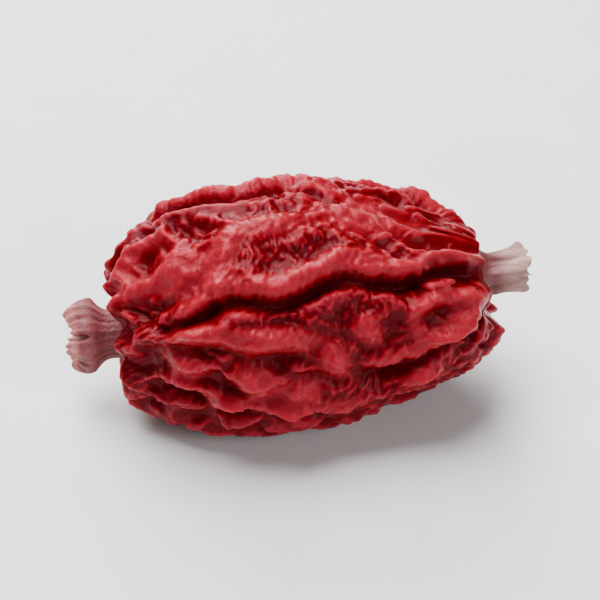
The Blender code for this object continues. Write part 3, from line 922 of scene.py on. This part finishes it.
class StemForm(bpy.types.PropertyGroup):
    """Sizes of the stem stub."""

    foot_radius: length_property("Foot", "Radius of the stub's foot", 0.58 * MM)
    radius: length_property("Radius", "Radius of the stub's middle", 0.46 * MM)
    tip_radius: length_property("Tip", "Radius of the stub's broken tip", 0.55 * MM)
    length: length_property("Length", "Length of the stub, with its root", 0.90 * MM)
    foot_length: length_property("Foot length", "Length of the foot's flare", 0.34 * MM)
    lean: length_property("Lean", "How far the tip leans upwards", 0.15 * MM)
    flutes: IntProperty(name="Flutes", description="Ribs of the shrunk stalk", default=5, min=0)
    flute_depth: number_property("Flute depth", "Depth of the flutes, a share", 0.10)
    twist: number_property("Twist", "Turn of the flutes along the stub", 2.2)
    slant: number_property("Slant", "Slant of the broken tip, as a share", 0.30)
    rings: IntProperty(name="Rings", description="Divisions of the stub along X", default=22, min=4)
    splinters: IntProperty(name="Splinters", description="Fibres standing out of the tip", default=17, min=1)


class BerryLook(bpy.types.PropertyGroup):
    """Colours and shine of the berry and its two ends."""

    bright_red: colour_property("Bright red", "Skin where it is clearest", (0.112, 0.0005, 0.008))
    dark_red: colour_property("Dark red", "Skin where the flesh behind it is thick", (0.058, 0.0003, 0.004))
    # Painted shade: this darker red is laid in the furrows, where shade falls.
    furrow_shade_red: colour_property("Furrow", "Skin down in the furrows", (0.065, 0.0002, 0.004))
    # Partly real and partly painted highlight: ridges are painted paler, as thin skin and as a highlight.
    ridge_thin_and_highlight: colour_property("Ridge", "Skin drawn thin over a ridge", (0.22, 0.007, 0.024))
    # Partly real and partly painted sheen: knobs, loops and lips are painted pink, as stretched skin and as
    # sheen.
    knob_stretch_and_sheen: colour_property("Knobs", "Skin stretched over knobs, loops and lips", (0.39, 0.025, 0.045))
    # Partly real and partly painted highlight: the finest crests are painted pale, as worn skin and as a
    # highlight.
    crest_worn_and_highlight: colour_property("Crest", "The finest crests, worn pale", (0.48, 0.040, 0.065))
    shine_tint: colour_property("Shine", "Tint that the clear flesh gives the shine", (1.0, 0.25, 0.31))
    end_brown: colour_property("Ends", "Skin and stalk where they meet", (0.11, 0.004, 0.010))
    stigma_tan: colour_property("Stigma", "The stigma's rim", (0.60, 0.22, 0.20))
    stigma_shade: colour_property("Stigma shade", "The stigma's darker patches", (0.32, 0.07, 0.075))
    pit_brown: colour_property("Pit", "The stigma's pit", (0.045, 0.022, 0.012))
    stem_brown: colour_property("Stem", "The stem stub's bark", (0.50, 0.31, 0.27))
    stem_shade: colour_property("Stem shade", "The bark's darker streaks", (0.24, 0.09, 0.08))
    pith: colour_property("Pith", "The broken fibres at the tip", (0.60, 0.46, 0.36))
    skin_roughness: number_property("Roughness", "Roughness of the skin's shine", 0.36, 0.05, 0.9)
    ridge_flesh: number_property("Ridge flesh", "Share of red flesh over a ridge", 0.5, 0.0, 1.0)
    flesh_tint: colour_property("Flesh", "Tint of the clear red flesh over the skin", (1.0, 0.28, 0.40))


class StageSettings(bpy.types.PropertyGroup):
    """The floor, the lights and the camera."""

    floor_colour: colour_property("Floor", "Colour of the floor", (0.86, 0.86, 0.85))
    key_power: number_property("Key light", "Power of the large light, in watts", 0.27)
    back_power: number_property("Back light", "Power of the soft light behind", 0.16)
    fill_power: number_property("Fill light", "Power of the weaker soft light", 0.058)
    world_strength: number_property("Surround", "Strength of light all round", 0.13)
    azimuth: number_property("Azimuth", "Camera angle round the berry", -7.0)
    elevation: number_property("Elevation", "Camera angle above the floor", 39.0)
    frame_width: length_property("Frame width", "Width of what the camera sees at the berry", 12.0 * MM)
    lens: number_property("Lens", "Focal length in millimetres", 150.0)


# The pieces


class BARBERRY_OT_skin(bpy.types.Operator):
    """Models the berry: a sphere moved to the plump form, the shrunk sides and the wrinkles."""

    bl_idname = "barberry.skin"
    bl_label = "Wrinkled berry"

    def execute(self, context):
        form, look = context.scene.berry_form, context.scene.berry_look
        barrel = Barrel(form)
        deselect()
        bpy.ops.mesh.primitive_uv_sphere_add(
            segments=form.segments, ring_count=form.rings, radius=1.0, rotation=(0.0, math.pi / 2, 0.0)
        )
        bpy.ops.object.transform_apply(location=True, rotation=True, scale=True)
        mesh = context.active_object.data
        start = read_points(mesh)
        ring = np.rint(np.arccos(np.clip(-start[:, 0], -1.0, 1.0)) / math.pi * form.rings).astype(int)
        turned = np.arctan2(-start[:, 1], start[:, 2]) / TURN * form.segments
        segment = np.rint(turned).astype(int) % form.segments
        along = barrel.even_rings(form.rings + 1)
        around = np.arange(form.segments) * TURN / form.segments
        grid = skin_points(barrel, form, along[:, None], around[None, :])
        write_points(mesh, grid[ring, segment])
        plump = barrel.points(along[:, None], around[None, :])
        for name, values in skin_paint(barrel, grid, plump, around).items():
            paint_values(mesh, name, values[ring, segment])
        finished("wrinkled_skin", skin_material(look), "berry")
        return {"FINISHED"}


class BARBERRY_OT_stigma(bpy.types.Operator):
    """Models the stigma: a ring extruded out of its seat, over its crest and down into the pit."""

    bl_idname = "barberry.stigma"
    bl_label = "Stigma"

    def execute(self, context):
        look = context.scene.berry_look
        low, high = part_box("stigma_ring")
        centre = (low + high) / 2
        radius = (high.y - low.y) / 2
        foot = Vector((high.x + ROOT_DEPTH, centre.y, centre.z))
        height = foot.x - low.x
        extruded_outline(STIGMA_OUTLINE, radius, -height, foot, STIGMA_SEGMENTS)
        mesh = context.active_object.data
        points = read_points(mesh) - np.array(foot)
        off_axis, around = np.hypot(points[:, 1], points[:, 2]), np.arctan2(-points[:, 1], points[:, 2])
        up = -points[:, 0] / height
        top = smooth(up, 0.5, 1.0) * smooth(off_axis, 0.3 * radius, 0.55 * radius)
        ribs = np.cos(STIGMA_RIBS * around + 1.4 * np.sin(3 * around)) + 0.5 * np.cos(41 * around + 0.8)
        aside = [(around - at + math.pi) % TURN - math.pi for at in STIGMA_NOTCHES]
        notches = sum(np.exp(-((angle / STIGMA_NOTCH_WIDTH) ** 2)) for angle in aside)
        uneven = waves_round(around, STIGMA_UNEVEN)
        up = up + top * (uneven + STIGMA_RIB_HEIGHT * ribs - STIGMA_NOTCH_DEPTH * notches)
        lobes = 0.03 * (np.cos(9 * around) - 1.0) + 0.012 * np.cos(23 * around + 0.5)
        side = 1.0 + smooth(up, 0.0, 0.4) * (lobes - 0.05 * notches * top) + 0.01 * ribs * (1.0 - top)
        points[:, 1:] *= side[:, None]
        points[:, 0] = -up * height
        write_points(mesh, points + np.array(foot))
        smoothed(1)
        finished("stigma_disc", stigma_material(look, (low.x, centre.y, centre.z)), "stigma_ring")
        return {"FINISHED"}


class BARBERRY_OT_stem(bpy.types.Operator):
    """Models the stem stub: a stalk extruded out of its seat, fluted by shrinking, with a broken tip."""

    bl_idname = "barberry.stem"
    bl_label = "Stem stub"

    def execute(self, context):
        form, look = context.scene.stem_form, context.scene.berry_look
        base = stem_base()
        shares = np.linspace(0.0, 1.0, form.rings)
        foot = (form.foot_radius - form.radius) * (1.0 - smooth(shares * form.length, 0.0, form.foot_length))
        tip = (form.tip_radius - form.radius) * smooth(shares, 0.62, 1.0)
        radii = (form.radius + foot + tip) / form.radius
        outline = [*zip(radii, shares), *((radii[-1] * share, 1.0 - depth) for share, depth in TIP_OUTLINE)]
        extruded_outline(outline, form.radius, form.length, base, STEM_SEGMENTS)
        mesh = context.active_object.data
        write_points(mesh, stem_points(form, read_points(mesh) - np.array(base)) + np.array(base))
        smoothed(1)
        finished("stem_stalk", stem_material(look), "stem_stub")
        return {"FINISHED"}


class BARBERRY_OT_splinters(bpy.types.Operator):
    """Models the broken fibres that stand out of the stem stub's tip: one is modelled, then copied."""

    bl_idname = "barberry.splinters"
    bl_label = "Stem splinters"

    def execute(self, context):
        form, look = context.scene.stem_form, context.scene.berry_look
        random = np.random.default_rng(SPLINTER_SEED)
        deselect()
        bpy.ops.mesh.primitive_circle_add(
            vertices=SPLINTER_SIDES, radius=SPLINTER_RADIUS, fill_type="NGON"
        )
        bpy.ops.object.mode_set(mode="EDIT")
        for share in SPLINTER_TAPER:
            step = SPLINTER_LENGTH / len(SPLINTER_TAPER)
            bpy.ops.mesh.extrude_region_move(TRANSFORM_OT_translate={"value": (0.0, 0.0, step)})
            bpy.ops.transform.resize(value=(share, share, 1.0))
        face_outwards()
        first = context.active_object
        pattern = read_points(first.data)
        copies = []
        for number in range(form.splinters):
            around = TURN * (number + 0.6 * random.random()) / form.splinters
            share = 0.55 + 0.4 * random.random()
            out = form.tip_radius * share
            at = (form.length * SPLINTER_ROOT, -out * math.sin(around), out * math.cos(around))
            root = stem_points(form, np.array([at]))[0]
            grown = pattern * [1.0, 1.0, 0.5 + 0.8 * random.random()]
            bend = 0.5 * (random.random() - 0.3) * (grown[:, 2] / SPLINTER_LENGTH) ** 2 * SPLINTER_LENGTH
            spread = 0.15 + 0.25 * random.random()
            away = grown[:, 2] * spread + bend
            points = np.empty_like(grown)
            points[:, 0] = root[0] + grown[:, 2] + 0.3 * grown[:, 0]
            points[:, 1] = root[1] + grown[:, 1] - away * math.sin(around)
            points[:, 2] = root[2] + grown[:, 0] + away * math.cos(around)
            copy = bpy.data.objects.new(f"splinter_{number}", first.data.copy())
            context.scene.collection.objects.link(copy)
            write_points(copy.data, points + np.array(stem_base()))
            copies.append(copy)
        bpy.data.objects.remove(first)
        for copy in copies:
            copy.select_set(True)
        context.view_layer.objects.active = copies[0]
        bpy.ops.object.join()
        face_outwards()
        finished("stem_splinters", pith_material(look), "stem_stub")
        return {"FINISHED"}


class BARBERRY_OT_stage(bpy.types.Operator):
    """Sets up the floor, the soft lights and the camera."""

    bl_idname = "barberry.stage"
    bl_label = "Stage"

    def execute(self, context):
        stage = context.scene.berry_stage
        low, high = CAD_BOX
        centre = (low + high) / 2
        deselect()
        bpy.ops.mesh.primitive_circle_add(vertices=96, radius=FLOOR_RADIUS, fill_type="NGON")
        floor = context.active_object
        floor.name = floor.data.name = "floor"
        floor.data.materials.append(floor_material(stage))
        powers = (stage.key_power, stage.back_power, stage.fill_power)
        for lamp, power in zip((KEY_LAMP, BACK_LAMP, FILL_LAMP), powers):
            self.add_light(lamp, power, centre)
        world = bpy.data.worlds.new("surround")
        world.use_nodes = True
        background = {"Color": SURROUND_COLOUR, "Strength": stage.world_strength}
        set_inputs(world.node_tree, world.node_tree.nodes["Background"], background)
        context.scene.world = world
        self.add_camera(context, stage, centre)
        return {"FINISHED"}

    def add_light(self, lamp, power, target):
        """Adds a round soft light that faces the target."""
        bpy.ops.object.light_add(type="AREA", location=lamp.place)
        light = bpy.context.active_object
        light.name = light.data.name = lamp.name
        light.data.shape = "DISK"
        light.data.size = lamp.width
        light.data.energy = power
        light.rotation_euler = (target - Vector(lamp.place)).to_track_quat("-Z", "Y").to_euler()

    def add_camera(self, context, stage, centre):
        """Adds the camera, far enough back for the frame's width, facing the centre."""
        azimuth, elevation = math.radians(stage.azimuth), math.radians(stage.elevation)
        level = math.cos(elevation)
        back = Vector((math.sin(azimuth) * level, -math.cos(azimuth) * level, math.sin(elevation)))
        bpy.ops.object.camera_add()
        camera = context.active_object
        camera.data.lens = stage.lens
        distance = stage.frame_width * stage.lens / camera.data.sensor_width
        camera.location = centre + back * distance
        camera.rotation_euler = (-back).to_track_quat("-Z", "Y").to_euler()
        camera.data.clip_start = 0.1 * distance
        camera.data.clip_end = 10.0
        context.scene.camera = camera


class BARBERRY_PT_panel(bpy.types.Panel):
    """Lists the pieces and what can be changed about them."""

    bl_label = "Dried barberry"
    bl_idname = "BARBERRY_PT_panel"
    bl_space_type = "VIEW_3D"
    bl_region_type = "UI"
    bl_category = "Barberry"

    def draw(self, context):
        for operator in OPERATORS:
            self.layout.operator(operator.bl_idname)
        for group in SETTINGS:
            settings = getattr(context.scene, group)
            box = self.layout.box()
            for name in settings.__annotations__:
                box.prop(settings, name)


OPERATORS = (
    BARBERRY_OT_skin,
    BARBERRY_OT_stigma,
    BARBERRY_OT_stem,
    BARBERRY_OT_splinters,
    BARBERRY_OT_stage,
)
SETTINGS = {
    "berry_form": BerryForm,
    "stem_form": StemForm,
    "berry_look": BerryLook,
    "berry_stage": StageSettings,
}
CLASSES = (*SETTINGS.values(), *OPERATORS, BARBERRY_PT_panel)


def register():
    for kind in CLASSES:
        bpy.utils.register_class(kind)
    for name, kind in SETTINGS.items():
        setattr(bpy.types.Scene, name, PointerProperty(type=kind))


def unregister():
    for name in SETTINGS:
        delattr(bpy.types.Scene, name)
    for kind in reversed(CLASSES):
        bpy.utils.unregister_class(kind)


def main():
    register()
    bpy.ops.barberry.skin()
    bpy.ops.barberry.stigma()
    bpy.ops.barberry.stem()
    bpy.ops.barberry.splinters()
    bpy.ops.barberry.stage()


if __name__ == "__main__":
    main()
